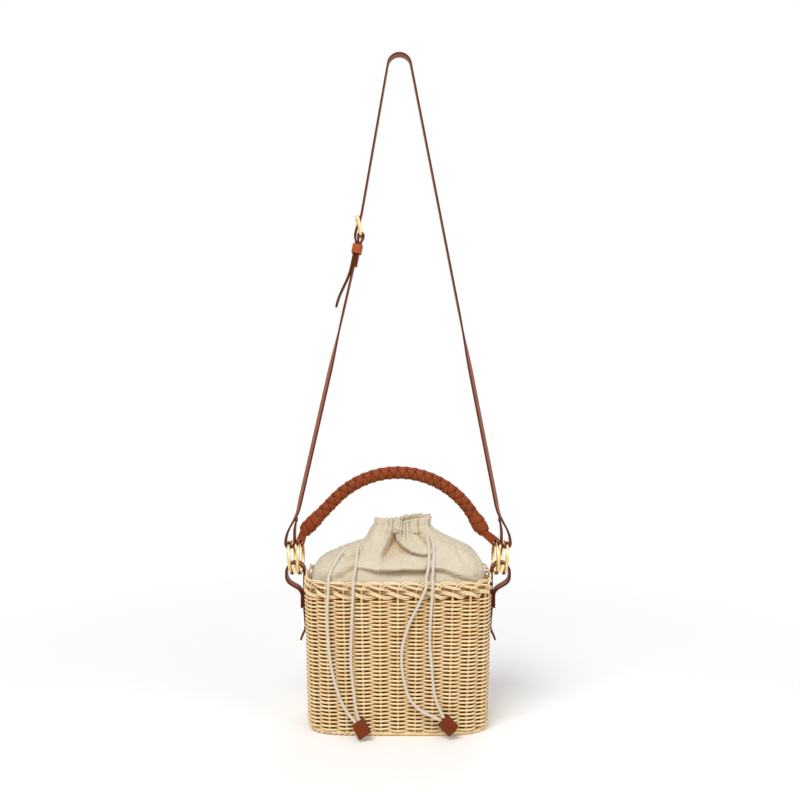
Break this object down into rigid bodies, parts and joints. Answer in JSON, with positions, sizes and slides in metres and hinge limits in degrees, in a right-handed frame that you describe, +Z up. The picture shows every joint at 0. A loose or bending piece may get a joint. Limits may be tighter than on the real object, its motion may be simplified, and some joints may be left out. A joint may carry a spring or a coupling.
{
  "type": "wicker bucket bag",
  "caption": "Boxy woven wicker bucket bag with a plaited rim, gathered cotton drawstring pouch, braided leather handle and buckled crossbody strap on brass rings.",
  "frame": {"origin": "centre of the basket's foot ring, on the surface that it stands on", "axes": "+Z up to the crown of the strap, -Y towards the front with the cords, +X to the right of the front"},
  "size_m": [0.2438, 0.1195, 0.715],
  "materials": {
    "willow": "natural willow, satin",
    "cotton": "plain cotton canvas",
    "cotton_cord": "twisted cotton cord",
    "leather": "smooth tan leather",
    "keeper_leather": "smooth tan leather, lighter",
    "brass": "polished brass"
  },
  "bodies": {
    "basket": {"foot_wale": "willow", "basket_base": "willow", "basket_wall": "willow", "rim_wale": "willow", "plaited_rim": "willow", "lining": "cotton", "pouch_collar": "cotton", "cord_left_outer": "cotton_cord", "cord_left_inner": "cotton_cord", "cord_right_outer": "cotton_cord", "cord_right_inner": "cotton_cord", "cord_tab_left": "leather", "cord_tab_right": "leather", "side_tab_left": "leather", "side_tab_right": "leather"},
    "handle": {"handle_braid": "leather", "handle_wrap_left": "leather", "handle_wrap_right": "leather", "handle_loop_left": "leather", "handle_loop_right": "leather"},
    "handle_ring_l": {"handle_ring_left": "brass"},
    "handle_ring_r": {"handle_ring_right": "brass"},
    "strap": {"strap_long": "leather", "strap_short": "leather", "buckle_frame": "brass"},
    "strap_ring_l": {"strap_ring_left": "brass"},
    "strap_ring_r": {"strap_ring_right": "brass"},
    "prong": {"buckle_prong": "brass"},
    "keeper": {"strap_keeper": "keeper_leather"}
  },
  "joints": [
    {"name": "handle_swing", "type": "hinge", "parent": "basket", "child": "handle", "pos_m": [0, 0, 0.173], "axis": [1, 0, 0], "range_deg": [-80, 80]},
    {"name": "strap_swing", "type": "hinge", "parent": "basket", "child": "strap", "pos_m": [0, 0, 0.173], "axis": [1, 0, 0], "range_deg": [-90, 90]},
    {"name": "handle_ring_left_spin", "type": "hinge", "parent": "handle", "child": "handle_ring_l", "pos_m": [-0.10508, 0, 0.173], "axis": [0.9976, -0.0698, 0], "continuous": true},
    {"name": "handle_ring_right_spin", "type": "hinge", "parent": "handle", "child": "handle_ring_r", "pos_m": [0.10508, 0, 0.173], "axis": [0.9976, 0.0698, 0], "continuous": true},
    {"name": "strap_ring_left_spin", "type": "hinge", "parent": "strap", "child": "strap_ring_l", "pos_m": [-0.11422, 0, 0.173], "axis": [0.9921, -0.0694, 0.1045], "continuous": true},
    {"name": "strap_ring_right_spin", "type": "hinge", "parent": "strap", "child": "strap_ring_r", "pos_m": [0.11422, 0, 0.173], "axis": [0.9921, 0.0694, -0.1045], "continuous": true},
    {"name": "prong_turn", "type": "hinge", "parent": "strap", "child": "prong", "pos_m": [-0.03976, 0, 0.519], "axis": [0, -1, 0], "range_deg": [0, 8]},
    {"name": "keeper_slide", "type": "slide", "parent": "strap", "child": "keeper", "axis": [-0.1976, 0, -0.9803], "range_m": [0, 0.012]}
  ]
}
